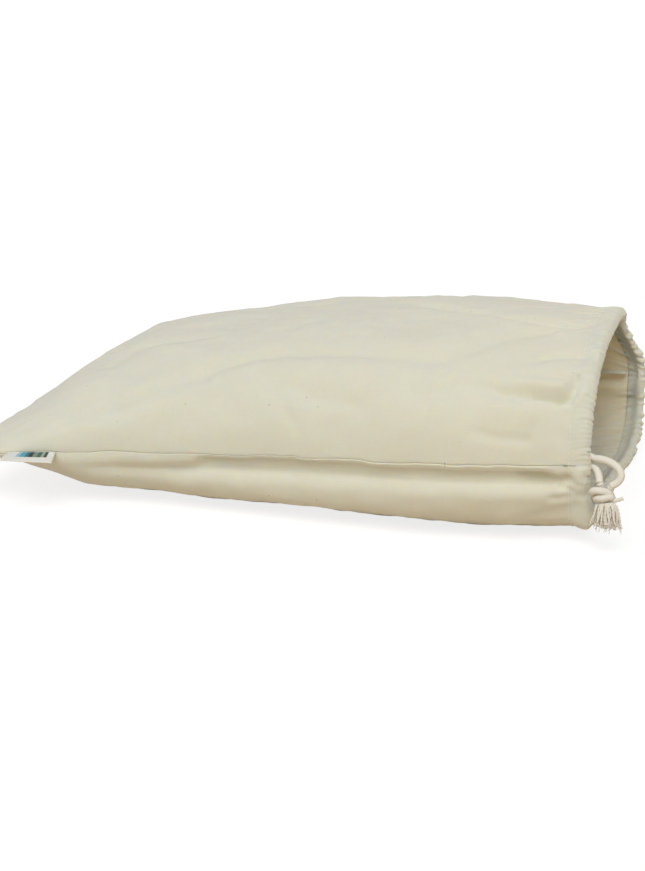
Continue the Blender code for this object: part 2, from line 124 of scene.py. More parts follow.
# Creases of both panels as depth, width and points (x, arc from the near seam). Each is a soft
# trough, or a ridge where the depth is negative
UPPER_CREASES = (
    (2.4, 8.0, ((69, 160), (95, 146), (123, 133), (140, 130), (164, 124))),
    (1.3, 3.6, ((69, 162), (95, 147), (112, 138), (123, 133), (140, 130), (158, 125), (167, 126))),
    (-1.6, 8.0, ((75, 146), (105, 131), (140, 118), (160, 112))),
    (2.4, 8.0, ((145, 111), (125, 97), (114, 84), (97, 68), (67, 70), (11, 73))),
    (1.3, 3.4, ((167, 116), (145, 111), (131, 102), (120, 90), (108, 78))),
    (0.9, 3.8, ((97, 68), (67, 70), (11, 73))),
    (2.6, 8.0, ((-10, 73), (-38, 62), (-56, 49), (-75, 40), (-92, 27), (-108, 26))),
    (1.2, 4.0, ((11, 73), (-19, 73), (-38, 62), (-56, 49), (-75, 40), (-92, 27), (-108, 26))),
    (-1.8, 10.0, ((40, 56), (-10, 57), (-40, 46), (-62, 34))),
    (1.6, 6.0, ((176, 77), (157, 75), (139, 69))),
    (1.0, 3.0, ((176, 77), (160, 76), (150, 72))),
    (1.8, 4.0, ((108, 49), (117, 48), (136, 43), (156, 40), (169, 38))),
    (1.1, 4.2, ((136, 43), (156, 40), (169, 38))),
    (1.2, 4.6, ((152, 40), (171, 39))),
    (1.6, 3.0, ((166, 39), (171, 42), (173, 47), (174, 53))),
    (2.0, 2.4, ((134, 44), (145, 41), (156, 40), (167, 38), (172, 42), (174, 49), (175, 55))),
    (-1.2, 2.8, ((170, 32), (177, 38), (181, 46))),
    (-1.5, 6.5, ((132, 33), (150, 30), (166, 28))),
    (-1.3, 4.4, ((126, 54), (150, 48), (166, 46))),
    (-1.3, 4.2, ((146, 49), (156, 48), (166, 46))),
    (1.4, 6.0, ((85, 41), (105, 42))),
    (1.6, 3.2, ((122, 18), (134, 15), (150, 14))),
    (2.2, 9.0, ((-122, 81), (-113, 106), (-76, 106))),
    (1.0, 4.0, ((-122, 78), (-113, 104), (-92, 108), (-60, 104))),
    (1.6, 5.0, ((-14, 51), (-8, 45), (-2, 39))),
    (1.7, 5.5, ((8, 41), (20, 36), (36, 34), (52, 32))),
    (0.9, 3.4, ((2, 32), (10, 23), (16, 15))),
    (1.4, 7.0, ((-6, 118), (-18, 100), (-34, 84))),
    (1.4, 10.0, ((-60, 175), (10, 190), (80, 205), (130, 200))),
    (1.6, 9.0, ((150, 240), (120, 232), (70, 240))),
)
LOWER_CREASES = (
    (1.3, 8.0, ((120, 30), (146, 28), (166, 31))),
    (1.2, 5.0, ((150, 38), (166, 33), (176, 26))),
    (1.6, 9.0, ((160, 258), (110, 264), (60, 256))),
)

# Troughs and bulges finer than the solids': under the near seam, and where the cord's knot
# pinches the lower casing. Their widths are smaller, so they fade out closer to the seam
LOWER_PINCHES = (
    (-1.1, 8.0, ((-128, 8), (-78, 8))),
    (4.4, 5.2, ((-42, 6), (30, 6), (110, 7), (160, 8))),
    (3.0, 3.2, ((150, 8), (172.5, 9))),
    (-1.4, 2.4, ((181, 1), (178.5, 9))),
    (-1.0, 9.0, ((-122, 27), (-60, 31), (60, 35), (150, 35))),
    (-0.8, 9.0, ((-40, 32), (60, 35), (100, 35))),
    (-1.8, 4.4, ((190, 12), (181, 11))),
    (1.6, 1.8, ((170, 13), (175, 16))),
    (0.8, 2.2, ((175, 18), (184, 20), (190, 20))),
    (1.8, 3.0, ((166, 21), (174, 21))),
    (-1.2, 5.0, ((198, 30), (184, 30))),
    (-6.0, 7.0, ((186, 40), (182, 40))),
)
PINCH_FADE = 2.4

# Small bumps along the near seam: where, how high and how wide. How far they and the seams' waves
# reach into the cloth, and how far before the stitch line the waves stop
SEAM_BUMPS = ((5.5, -0.5, 3.0), (13.5, 0.8, 3.2), (19.5, -0.5, 2.6), (-8.0, 0.3, 4.0))
BUMP_REACH = 5.0
WAVE_REACH = 9.0
WAVE_STOP = 12.0

# Where the rim of each panel's casing reaches out: shift, arc and width
RIM_SHIFTS = {1: ((2.0, 212.0, 20.0),), -1: ((0.6, 9.0, 5.0), (4.0, 34.0, 8.0))}

# Hem inside the casing: distance back from the fold, share of the casing's thickness, and how its
# gathers stand: -1 against the outer side's, 1 with them
HEM_ROWS = (
    (1.6, 0.9, -1.0), (3.2, 0.6, -0.6), (4.8, 0.34, 0.2),
    (6.4, 0.16, 0.9), (7.8, 0.04, 1.0), (8.7, 0.0, 1.0),
)

# Where the casing stays open for the cord, as arc up or down from the near seam, and from which
# angle of its fold on. The cord's place in it, its points and steps, and its braid
UPPER_SLIT = 7.5
LOWER_SLIT = 6.0
SLIT_TURN = 0.5
CORD_ENTRY = 20.0
CORD_SETBACK = 0.4
CORD_POINTS = 57
CORD_STEP = 0.6
CORD_SIDES = 24
CURVE_STEPS = 24
BRAID_STRANDS = 4
BRAID_PITCH = 0.62
BRAID_LEVEL = 0.8

# Free ends of the cord, from the knot to the upper casing and from the lower casing to the knot
UPPER_STRAND = (
    (204.0, -113.5, 41.0), (207.3, -113.2, 43.2), (209.3, -112.7, 46.4), (208.6, -111.9, 49.6),
    (206.3, -110.9, 52.0), (203.2, -109.5, 53.4), (199.6, -108.0, 54.2), (196.0, -106.7, 54.3),
    (193.1, -105.2, 54.0), (190.6, -104.7, 54.6), (188.6, -104.7, 56.1), (187.4, -104.8, 58.6),
    (187.1, -104.4, 62.4), (187.1, -103.5, 66.2),
)
LOWER_STRAND = (
    (187.1, -104.5, 32.6), (187.1, -104.6, 37.0), (187.1, -104.6, 41.4), (187.9, -104.5, 45.2),
    (190.0, -104.5, 47.9), (192.6, -104.8, 48.5), (195.0, -106.6, 46.8), (196.6, -109.2, 44.2),
    (197.4, -111.6, 41.7),
)
KNOT_CENTRE = (198.8, -113.4, 36.0)

# The cord through the knot, from the lower strand to the tassel, from the knot's middle
KNOT_TURNS = (
    (-1.4, 1.8, 5.7), (-0.6, 2.5, 3.3), (-1.4, 2.8, 0.6), (-3.4, 1.8, -1.1), (-5.0, -0.4, 0.1),
    (-4.2, -2.4, 1.9), (-1.4, -3.2, 2.7), (1.6, -2.5, 2.3), (4.4, -0.8, 0.9), (5.1, 1.4, -1.3),
    (2.6, 2.7, -2.3), (-0.6, 2.0, -2.9), (-2.7, -0.3, -2.9), (-1.5, -2.6, -2.0), (1.5, -3.5, -1.5),
    (4.6, -2.4, -0.8), (6.0, 0.0, -2.1), (3.8, 0.9, -3.9), (1.9, 0.2, -5.6),
)
KNOT_SECOND_END = (
    (5.2, -0.1, 5.0), (4.7, 0.4, 3.0), (3.1, 0.9, 0.4), (2.2, 0.5, -2.6), (3.0, 0.0, -5.4),
)
KNOT_STEP = 0.4
KNOT_SWELL = 1.05
KNOT_LIFT = 2.0

# Grid of a panel: columns across the body, how many more across the mouth, and rows along it
BODY_COLUMNS = 150
MOUTH_FACTOR = 3
BODY_STEP = 2.4
MOUTH_STEP = 1.5
MOUTH_START = 150.0
END_STEPS = (0.0, 0.8, 1.8, 3.0, 4.6, 6.4)
CASING_STEPS = 8
FOLD_STEPS = 9

# Gathers round the mouth of the upper (1) and lower (-1) panel, by the share of the arc from the
# near seam: how far apart they are, how deep and how far they reach back over the body
GATHERS = {
    1: ((0.0, 2.3, 0.34, 2.2), (0.2, 2.5, 0.5, 3.2), (0.45, 3.2, 0.8, 8.0),
        (0.62, 3.8, 1.1, 12.0), (0.76, 4.8, 2.3, 23.0), (1.0, 5.2, 2.2, 23.0)),
    -1: ((0.0, 3.4, 0.12, 3.0), (0.2, 3.6, 0.12, 5.0), (0.34, 4.2, 0.8, 9.0), (0.7, 4.6, 1.4, 16.0),
         (1.0, 4.6, 1.4, 16.0)),
}
# How much each gather differs: the share of long ones and their reach, the ranges of the others'
# reach, of width and step as shares of the pitch, and of depth, and the spread of their slant
LONG_SHARE = 0.25
LONG_REACH = 2.2
REACH_RANGE = (0.4, 1.1)
WIDTH_RANGE = (0.22, 0.42)
STEP_RANGE = (0.6, 1.45)
DEPTH_RANGE = (0.35, 1.5)
SLANT_SPREAD = 0.12

# How they fade: clear of the seams, wider and shallower back over the body, fainter on the near
# face, and held off the cord. How far they draw the rim back
GATHER_ENDS = (2.5, 2.0)
VALLEY_ENDS = (4.0, 2.0)
VALLEY_WIDENS = 0.6
VALLEY_FADE = 1.5
FACE_GATHERS = 0.3
FACE_SHARES = (0.35, 0.55)
RIM_START = 3.5
GATHER_LIFT = 0.3
CORD_ZONE = (1.0, 2.6)
RIM_SCALLOP = 0.8

# Stitches: how far apart, the points of each, how far they stand off the cloth, rise and dip into
# it, and the thread's radius, steps and sides
STITCH_PITCH = 3.0
STITCH_POINTS = 4
STITCH_HEIGHT = 0.05
STITCH_LIFT = 0.08
STITCH_UNEVEN = 0.05
STITCH_DEPTH = 0.22
THREAD_RADIUS = 0.16
THREAD_STEP = 0.5
THREAD_SIDES = 6

# Yarns of the tassel: how many, their size and its range, how deep their strands are and how fast
# they turn, from where on they thin to which tip, and the turn from one yarn to the next
YARNS = 60
YARN_LENGTH = 16.8
YARN_LENGTHS = (0.74, 1.0)
OUTER_SHORTER = 0.14
YARN_RADIUS = 0.60
YARN_RADII = (0.8, 1.15)
YARN_STEP = 0.45
YARN_SIDES = 8
YARN_POINTS = 7
YARN_STRANDS = 0.3
YARN_TWIST = 3.0
YARN_THINS = 0.55
YARN_TIPS = (0.45, 0.8)
YARN_TURN = 2.4

# Tassel: where it leaves the knot, the size of its bundle, how its yarns splay, by how much more at
# the mouth's side and how far at most to the back, how they bend and waver, the fray at each tip,
# and the cut strand beside them
TASSEL_ROOT = (3.0, -0.9, -3.9)
TASSEL_BUNDLE = (4.2, 2.9)
BUNDLE_RISE = 0.6
SPLAY = (0.95, 0.9)
SPLAY_SHIFT = 0.9
SPLAY_BACK = 0.6
SPLAY_SPREAD = 0.6
SPLAY_CURVE = 0.55
BEND_SPREAD = 0.55
BEND_RATE = 5.0
WAVER = 0.1
FRAY_SPREAD = 0.9
FRAY_LENGTHS = (0.6, 1.6)
FRAY_SIDES = 4
CUT_STRAND = ((5.0, -0.6, -3.4), (7.6, -1.0, -3.0), (10.0, -1.2, -2.2), (12.4, -1.0, -1.2))

# Label tape: its size and place, how it leans, fans out, droops, tilts and curls, how it folds, and
# its columns and the points of each leaf and of the fold
LABEL_WIDTH = 28.0
LABEL_REACH = 17.0
LABEL_X = -148.0
LABEL_SKEW = 0.18
LABEL_FAN = 0.2
LABEL_DROP = 1.0
LABEL_TILT = 1.7
LABEL_CURL = 1.4
TAPE_THICKNESS = 0.32
TAPE_FOLD = 0.42
TAPE_ROOT = 0.4
TAPE_PINCH = 0.35
TAPE_OPENS = 3.0
TAPE_COLUMNS = 22
LEAF_POINTS = 14
FOLD_POINTS = 7

# Plain bands on the label: where each starts as a share of the tape's width, and its colour
LABEL_BANDS = (
    (0.24, (0.30, 0.52, 0.60)),
    (0.31, (0.09, 0.34, 0.46)),
    (0.42, (0.04, 0.15, 0.20)),
    (0.49, (0.03, 0.035, 0.03)),
    (0.57, (0.20, 0.27, 0.20)),
    (0.66, (0.07, 0.13, 0.10)),
    (0.74, (0.30, 0.40, 0.34)),
    (0.80, (0.05, 0.06, 0.05)),
    (0.86, (0.78, 0.78, 0.73)),
)
LABEL_PRINT_MIDDLE = 6.2
LABEL_PRINT_HALF = 4.6

# Materials: threads per metre, slubs and flecks as cells per metre, slow changes of tone as their
# scale and share, and the colours in which light spreads inside the textile
CLOTH_THREADS = 1800.0
TAPE_THREADS = 3600.0
SLUB_SCALE = (1900.0, 60.0)
SLUB_HEIGHT = 0.9
SLUB_SHADE = (1.1, -0.15)
FLECK_SCALE = (170.0, 260.0, 1.0)
FLECK_SIZE = 0.085
FLECK_AMOUNT = 0.06
FLECK_SHARE = 0.5
FLECK_COLOUR = (0.23, 0.15, 0.08)
FIBRE_SCALE = (4200.0, 700.0, 1.0)
CLOTH_TONE = (28.0, 0.35)
CORD_TONE = (160.0, 0.3)
GLOW_COLOURS = (1.0, 0.72, 0.42)

# Camera: the angle it looks from, its distance, the point it looks at, its lens and its sensor
CAMERA_AZIMUTH = 17.4
CAMERA_ELEVATION = 15.5
CAMERA_DISTANCE = 1.3
CAMERA_TARGET = (0.0, 0.0, 0.0234)
CAMERA_LENS = 83.95
CAMERA_SENSOR = 36.0
CAMERA_SIGHT = 100.0

# Key light: where it comes from, its strength and its spread in degrees
KEY_FROM = (0.2, -1.18, 1.35)
KEY_STRENGTH = 1.88
KEY_SPREAD = 34.0

# Sky and floor: colour and strength of the sky, the floor's size and place, the colour that it
# throws on the bag, and the glow and grey in which the camera sees it
SKY_COLOUR = (1.0, 0.98, 0.94, 1.0)
SKY_STRENGTH = 0.38
FLOOR_SIZE = 30.0
FLOOR_PLACE = (0.0, 8.0, 0.0)
FLOOR_COLOUR = (0.76, 0.66, 0.53, 1.0)
FLOOR_GLOW = 0.80
FLOOR_SHADE = (0.28, 0.28, 0.28, 1.0)

FULL_TURN = 6.28
SECTION_TABLE = np.array(SECTIONS, float)
SECTION_SLOPES = np.gradient(SECTION_TABLE[:, 1:], SECTION_TABLE[:, 0], axis=0)
CLOSED_X = SECTION_TABLE[0, 0]
MOUTH_X = SECTION_TABLE[-1, 0]
STITCH_X = MOUTH_X - CASING_WIDTH
FOLD_X = MOUTH_X - FOLD_RADIUS


def smooth_step(value, low, high):
    """Soft step from 0 at low to 1 at high."""
    t = np.clip((value - low) / (high - low), 0.0, 1.0)
    return t * t * (3 - 2 * t)


def running_length(steps):
    """Length run at each point, from the lengths of the steps between them."""
    return np.concatenate([[0.0], np.cumsum(steps)])


def step_lengths(path):
    """Lengths of the steps from point to point of a path."""
    return np.linalg.norm(np.diff(path, axis=0), axis=1)


def section_at(x):
    """Sizes of the cross section at x, on a smooth curve through the table."""
    stations = SECTION_TABLE[:, 0]
    row = int(np.clip(np.searchsorted(stations, x) - 1, 0, len(stations) - 2))
    span = stations[row + 1] - stations[row]
    t = float(np.clip((x - stations[row]) / span, 0.0, 1.0))
    values = SECTION_TABLE[:, 1:]
    sizes = ((2 * t**3 - 3 * t**2 + 1) * values[row]
             + (t**3 - 2 * t**2 + t) * span * SECTION_SLOPES[row]
             + (3 * t**2 - 2 * t**3) * values[row + 1]
             + (t**3 - t**2) * span * SECTION_SLOPES[row + 1])
    return dict(zip(SECTION_COLUMNS[1:], sizes))


def panel_curve(x, side, roll):
    """Outline (y, z) of one panel at x, near seam to far seam. side is 1 for the upper panel."""
    size = section_at(x)
    angle = np.linspace(0.0, math.pi, CURVE_POINTS)
    cosine = np.cos(angle)
    sine = np.abs(np.sin(angle))
    power = 2.0 / (size["crown"] if side > 0 else size["belly"])
    y = size["sway"] - size["half"] * np.sign(cosine) * np.abs(cosine) ** power
    edge = size["seam"] + side * (GAP / 2 + roll)
    if side > 0:
        return y, edge + (max(size["top"], edge + LEAST_RISE) - edge) * sine**power
    floor = max(size["floor"], 0.0)
    press = BELLY_PRESS * smooth_step(PRESS_HEIGHT - floor, 0.0, PRESS_HEIGHT)
    z = np.maximum(edge - (edge - min(floor, edge - LEAST_RISE) + press) * sine**power, floor)
    z = np.minimum(z, edge)
    drop = edge - z
    start = np.clip(drop / TUCK_DROP, 0.0, 1.0) ** 2
    draw_in = size["tuck"] * start * np.exp(-(((drop - TUCK_DROP) / TUCK_WIDTH) ** 2))
    return y + np.sign(cosine) * draw_in, z


def askew(x, points):
    """Points (x, y, z) of section x, with both ends of the bag lying askew."""
    size = section_at(x)
    moved = np.array(points, float)
    reach = smooth_step(x, FLARE_START, MOUTH_X) * smooth_step(moved[:, 1], 0.0, size["half"])
    flare = MOUTH_FLARE * (1.0 - smooth_step(moved[:, 2], size["seam"], size["seam"] + FLARE_HEIGHT))
    moved[:, 0] += (flare - MOUTH_SETBACK) * reach - LEAN * moved[:, 1]
    return moved


def seam_roll(x, side):
    """Radius of the rolled seam edge: small at the closed end and where the casing starts."""
    least = END_ROLL / 2
    grown = 1.0 if side > 0 else smooth_step(x, *ROLL_GROWS)
    full = least + (SEAM_ROLL - least) * grown
    start = least + (full - least) * smooth_step(x, CLOSED_X, CLOSED_X + ROLL_START)
    return float(start + (FLAT_ROLL - start) * smooth_step(x, STITCH_X - ROLL_STOP, STITCH_X))


def section_row(x, side, shares):
    """Points across one panel at x for shares of its arc, their outward normals and their arcs."""
    y, z = panel_curve(x, side, seam_roll(x, side))
    arc = running_length(np.hypot(np.diff(y), np.diff(z)))
    wanted = shares * arc[-1]
    slope_y = np.interp(wanted, arc, np.gradient(y, arc))
    slope_z = np.interp(wanted, arc, np.gradient(z, arc))
    length = np.hypot(slope_y, slope_z)
    points = [np.full_like(wanted, x), np.interp(wanted, arc, y), np.interp(wanted, arc, z)]
    normals = [np.zeros_like(wanted), -side * slope_z / length, side * slope_y / length]
    return np.stack(points, axis=1), np.stack(normals, axis=1), wanted, arc[-1]


def crease_depth(creases, x, arc):
    """Depth of all creases of a panel at x, for an array of arcs."""
    total = np.zeros_like(arc)
    for depth, width, points in creases:
        nearest = np.full_like(arc, np.inf)
        for (ax, ay), (bx, by) in zip(points, points[1:]):
            run = (bx - ax, by - ay)
            t = ((x - ax) * run[0] + (arc - ay) * run[1]) / (run[0] ** 2 + run[1] ** 2)
            t = np.clip(t, 0.0, 1.0)
            nearest = np.minimum(nearest, np.hypot(x - ax - t * run[0], arc - ay - t * run[1]))
        total += depth * np.exp(-((nearest / width) ** 2))
    return total


def wave_set(seed, count, shortest, longest, height):
    """Random plane waves as rows (x rate, arc rate, phase, height) that add up to about height."""
    rng = np.random.default_rng(seed)
    length = shortest * (longest / shortest) ** rng.random(count)
    heading = rng.uniform(0.0, math.pi, count)
    rate = 2 * math.pi / length
    scale = height * math.sqrt(2.0 / count) * length / longest ** 0.5 / shortest ** 0.5
    phase = rng.uniform(0, FULL_TURN, count)
    return np.stack([rate * np.cos(heading), rate * np.sin(heading), phase, scale])


# Random waves of the cloth and the seams: seed, count, shortest and longest wave, height
SWELLS = {1: wave_set(3, 30, 34.0, 90.0, 0.55), -1: wave_set(4, 30, 34.0, 90.0, 0.28)}
RUMPLES = {1: wave_set(5, 40, 9.0, 28.0, 0.2), -1: wave_set(6, 40, 9.0, 28.0, 0.18)}
SEAM_WAVES = wave_set(7, 14, 9.0, 60.0, 0.28)


def waves_at(waves, x, arc):
    """Height of a wave set at x, for one arc or an array of arcs."""
    along, across, phase, height = (row[:, None] for row in waves)
    return (height * np.sin(along * x + across * np.atleast_1d(arc)[None, :] + phase)).sum(axis=0)


def mouth_arc(side):
    """Length of one panel's stitch line round the mouth."""
    return section_row(STITCH_X, side, np.array([0.0, 1.0]))[3]


def gather_set(side, seed):
    """Valleys between the gathers of one panel as rows (arc, width, depth, reach, slant)."""
    rng = np.random.default_rng(seed)
    total = mouth_arc(side)
    zones = np.array(GATHERS[side])
    rows = []
    arc = GATHER_ENDS[0]
    while arc < total - GATHER_ENDS[1]:
        pitch, depth, reach = (np.interp(arc / total, zones[:, 0], zones[:, i]) for i in (1, 2, 3))
        long = LONG_REACH if rng.random() < LONG_SHARE else rng.uniform(*REACH_RANGE)
        rows.append((arc, pitch * rng.uniform(*WIDTH_RANGE), depth * rng.uniform(*DEPTH_RANGE),
                     reach * long, rng.normal(0.0, SLANT_SPREAD)))
        arc += pitch * rng.uniform(*STEP_RANGE)
    return np.array(rows)


def gather_height(x, side, arc, total):
    """Height of the gathers at x: valleys that run back from the casing, uneven round the mouth."""
    back = max(STITCH_X - x, 0.0)
    middle, width, depth, reach, slant = (column[:, None] for column in GATHER_SETS[side].T)
    wide = width * (1.0 + VALLEY_WIDENS * back / reach)
    across = (arc[None, :] - middle - slant * (STITCH_X - x)) / wide
    valleys = depth * np.exp(-(across**2)) * np.exp(-((back / reach) ** VALLEY_FADE))
    ends = smooth_step(arc, 0.0, VALLEY_ENDS[0]) * smooth_step(total - arc, 0.0, VALLEY_ENDS[1])
    face = smooth_step(arc / total, *FACE_SHARES) + smooth_step(x, FOLD_X - RIM_START, FOLD_X)
    height = -valleys.sum(axis=0) * ends * (FACE_GATHERS + (1 - FACE_GATHERS) * np.minimum(face, 1.0))
    zones = np.array(GATHERS[side])
    lifted = height + GATHER_LIFT * np.interp(arc / total, zones[:, 0], zones[:, 2]) * ends
    shallow = -DEEPEST_VALLEY * np.tanh(-lifted / DEEPEST_VALLEY)
    over_cord = smooth_step(x, STITCH_X + CORD_ZONE[0], FOLD_X - CORD_ZONE[1])
    return height + (np.where(lifted < 0, shallow, lifted) - height) * over_cord


def rim_shift(side, x, arc, gathers):
    """How far the rim is drawn back by the gathers, and where it reaches out."""
    shift = RIM_SCALLOP * gathers
    for amount, middle, width in RIM_SHIFTS[side]:
        shift = shift + amount * np.exp(-(((arc - middle) / width) ** 2))
    return shift * smooth_step(x, STITCH_X, FOLD_X)


def body_form(side, x, arc, total):
    """Outward height of the cloth over its plain section from creases, swells and rumples."""
    edges = np.clip(np.minimum(arc, total - arc) / EDGE_FADE, 0.0, 1.0)
    end_fade = float(smooth_step(x, CLOSED_X, CLOSED_X + EDGE_FADE))
    height = -crease_depth(UPPER_CREASES if side > 0 else LOWER_CREASES, x, arc) * edges
    height += waves_at(SWELLS[side], x, arc) * edges * end_fade
    height += waves_at(RUMPLES[side], x, arc) * np.sqrt(edges) * end_fade
    if side < 0:
        height -= crease_depth(LOWER_PINCHES, x, arc) * smooth_step(arc, 0.0, PINCH_FADE)
    return height


def casing_form(x, arc, total):
    """Outward height of the casing: it rises at its stitches and is softly puffed beyond them."""
    ends = smooth_step(np.minimum(arc, total - arc), 0.0, CASING_ENDS)
    height = CASING_RISE * smooth_step(x, STITCH_X - RISE_SPAN[0], STITCH_X + RISE_SPAN[1])
    share = min(max((x - STITCH_X) / (FOLD_X - STITCH_X), 0.0), 1.0)
    height += CASING_PUFF * math.sin(math.pi * share)
    return height * ends


def seam_wave(x, y, arc, total):
    """Small rise and fall of the side seams and the closed end, the same for both panels."""
    along = waves_at(SEAM_WAVES, x, np.zeros(1))[0]
    across = waves_at(SEAM_WAVES, 0.0, y)
    near = np.exp(-((np.minimum(arc, total - arc) / WAVE_REACH) ** 2))
    end = math.exp(-(((x - CLOSED_X) / WAVE_REACH) ** 2))
    fade = 1.0 - float(smooth_step(x, STITCH_X - WAVE_STOP, STITCH_X))
    bumps = sum(height * math.exp(-(((x - middle) / width) ** 2))
                for middle, height, width in SEAM_BUMPS)
    near_seam = np.exp(-((arc / BUMP_REACH) ** 2))
    return (along * near * (1 - end) + across * end) * fade + bumps * near_seam


def cloth_row(x, side, shares, inset=0.0, face=1.0, slide=0.0):
    """A row of the cloth at x. inset, face and slide place it on the casing's fold and hem."""
    points, normals, arc, total = section_row(min(x, MOUTH_X), side, shares)
    place = min(x, FOLD_X)
    gathers = gather_height(place, side, arc, total)
    puff = gathers + casing_form(place, arc, total)
    form = body_form(side, place, arc, total)
    points += normals * (form + puff * face - inset)[:, None]
    points[:, 0] += puff * slide + rim_shift(side, place, arc, gathers)
    points[:, 2] += seam_wave(x, points[:, 1], arc, total)
    points[:, 2] = np.maximum(points[:, 2], FLOOR_LEVEL + inset)
    return points


GATHER_SETS = {1: gather_set(1, 11), -1: gather_set(-1, 12)}


class Sheet:
    """Vertices, flat-cloth coordinates and faces of a sheet while it is being made."""

    def __init__(self):
        self.rows = []
        self.flat = []
        self.faces = []
        self.count = 0

    def add(self, points, flat_x, flat_y):
        """Adds a row of points with their flat coordinates; returns its vertex numbers."""
        self.rows.append(points)
        self.flat.append(np.stack(np.broadcast_arrays(flat_x, flat_y), axis=1))
        first = self.count
        self.count += len(points)
        return np.arange(first, self.count)

    def strip(self, lower, upper):
        """Faces between two rows. Where one row has MOUTH_FACTOR times the other's, it fans out."""
        if len(lower) == len(upper):
            self.faces += zip(lower, lower[1:], upper[1:], upper)
            return
        for index in range(len(lower) - 1):
            a, b = lower[index], lower[index + 1]
            fine = upper[MOUTH_FACTOR * index:MOUTH_FACTOR * (index + 1) + 1]
            self.faces += [(a, fine[1], fine[0]), (a, b, fine[2], fine[1]), (b, fine[3], fine[2])]


def make_object(name, points, faces, flat):
    """A mesh object from points in millimetres, with its flat coordinates as the UV map."""
    mesh = bpy.data.meshes.new(name)
    mesh.from_pydata((points * MM).tolist(), [], [tuple(map(int, face)) for face in faces])
    layer = mesh.uv_layers.new(name="flat")
    used = np.empty(len(mesh.loops), dtype=np.int32)
    mesh.loops.foreach_get("vertex_index", used)
    layer.data.foreach_set("uv", (flat[used] * MM).ravel().astype(np.float32))
    mesh.validate()
    mesh.update()
    mesh.shade_smooth()
    obj = bpy.data.objects.new(name, mesh)
    bpy.context.scene.collection.objects.link(obj)
    return obj


def body_stations():
    """Row positions from the closed end to the stitch line."""
    start = [CLOSED_X + step for step in END_STEPS]
    count = int((MOUTH_START - start[-1]) / BODY_STEP)
    body = np.linspace(start[-1], MOUTH_START, count + 1)[1:]
    count = int(round((STITCH_X - MOUTH_START) / MOUTH_STEP))
    mouth = np.linspace(MOUTH_START, STITCH_X, count + 1)[1:]
    return start + list(body) + list(mouth)


def casing_rows():
    """Rows of the casing as (x, inset, face, slide, folded, length past the stitch line).

    face is 1 on the outer side of the casing and -1 on its inner side, slide is 1 at the rim.
    """
    rows = []
    outer = FOLD_X - STITCH_X
    for x in np.linspace(STITCH_X, FOLD_X, CASING_STEPS)[1:]:
        rows.append((x, RIM_DRAW * ((x - STITCH_X) / outer) ** 2, 1.0, 0.0, False, x - STITCH_X))
    for step in range(1, FOLD_STEPS + 1):
        turn = math.pi * step / FOLD_STEPS
        x = FOLD_X + RIM_REACH * math.sin(turn)
        lens = math.copysign(abs(math.cos(turn)) ** RIM_POINT, math.cos(turn))
        inset = FOLD_RADIUS - (FOLD_RADIUS - RIM_DRAW if lens > 0 else INNER_RADIUS) * lens
        length = outer + FOLD_RADIUS * turn
        rows.append((x, inset, math.cos(turn), math.sin(turn), turn > SLIT_TURN, length))
    outer += math.pi * FOLD_RADIUS
    for back, share, face in HEM_ROWS:
        inset = HEM_INSET + (FOLD_RADIUS + INNER_RADIUS - HEM_INSET) * share
        rows.append((FOLD_X - back, inset, face, 0.0, True, outer + back))
    return rows


def add_seam_allowance(sheet, side, edge):
    """Rolls the panel's edge in and adds the allowance inside, round both sides and the end."""
    previous, plain, inward, level = edge
    edge_flat = np.concatenate(sheet.flat)[previous]
    radius = np.abs(plain[:, 2] - level)
    steps = [(math.radians(angle), 0.0) for angle in ROLL_ANGLES] + [(math.pi / 2, SEAM_ALLOWANCE)]
    for angle, extra in steps:
        reach = radius * (1 - math.cos(angle)) + extra
        row = plain.copy()
        row[:, 2] = level + side * radius * (1 - math.sin(angle))
        row[:, :2] += inward * reach[:, None]
        corner = np.maximum(reach - (plain[:, 0] - CLOSED_X), 0.0)
        row[:, 0] += np.where(inward[:, 0] == 0, corner * CORNER_PULL, 0.0)
        to_side = np.minimum(plain[:, 1] - plain[:, 1].min(), plain[:, 1].max() - plain[:, 1])
        pull = np.where(inward[:, 0] > 0, np.maximum(reach - to_side, 0.0) * CORNER_PULL, 0.0)
        row[:, 1] -= np.sign(plain[:, 1]) * pull
        placed = np.concatenate([askew(p[0], q[None, :]) for p, q in zip(plain, row)])
        flat = edge_flat + np.stack([-inward[:, 1], -inward[:, 0]], axis=1) * reach[:, None]
        current = sheet.add(placed, flat[:, 0], flat[:, 1])
        sheet.faces += zip(previous[1:], previous, current, current[1:])
        previous = current


def thicken(obj, name, thickness, even):
    """Gives a sheet its thickness, behind its faces. even: along weighted normals."""
    modifier = obj.modifiers.new(name, "SOLIDIFY")
    modifier.thickness = thickness
    modifier.offset = -1.0
    modifier.use_quality_normals = even
    bpy.ops.object.select_all(action="DESELECT")
    obj.select_set(True)
    bpy.context.view_layer.objects.active = obj
    bpy.ops.object.modifier_apply(modifier=modifier.name)


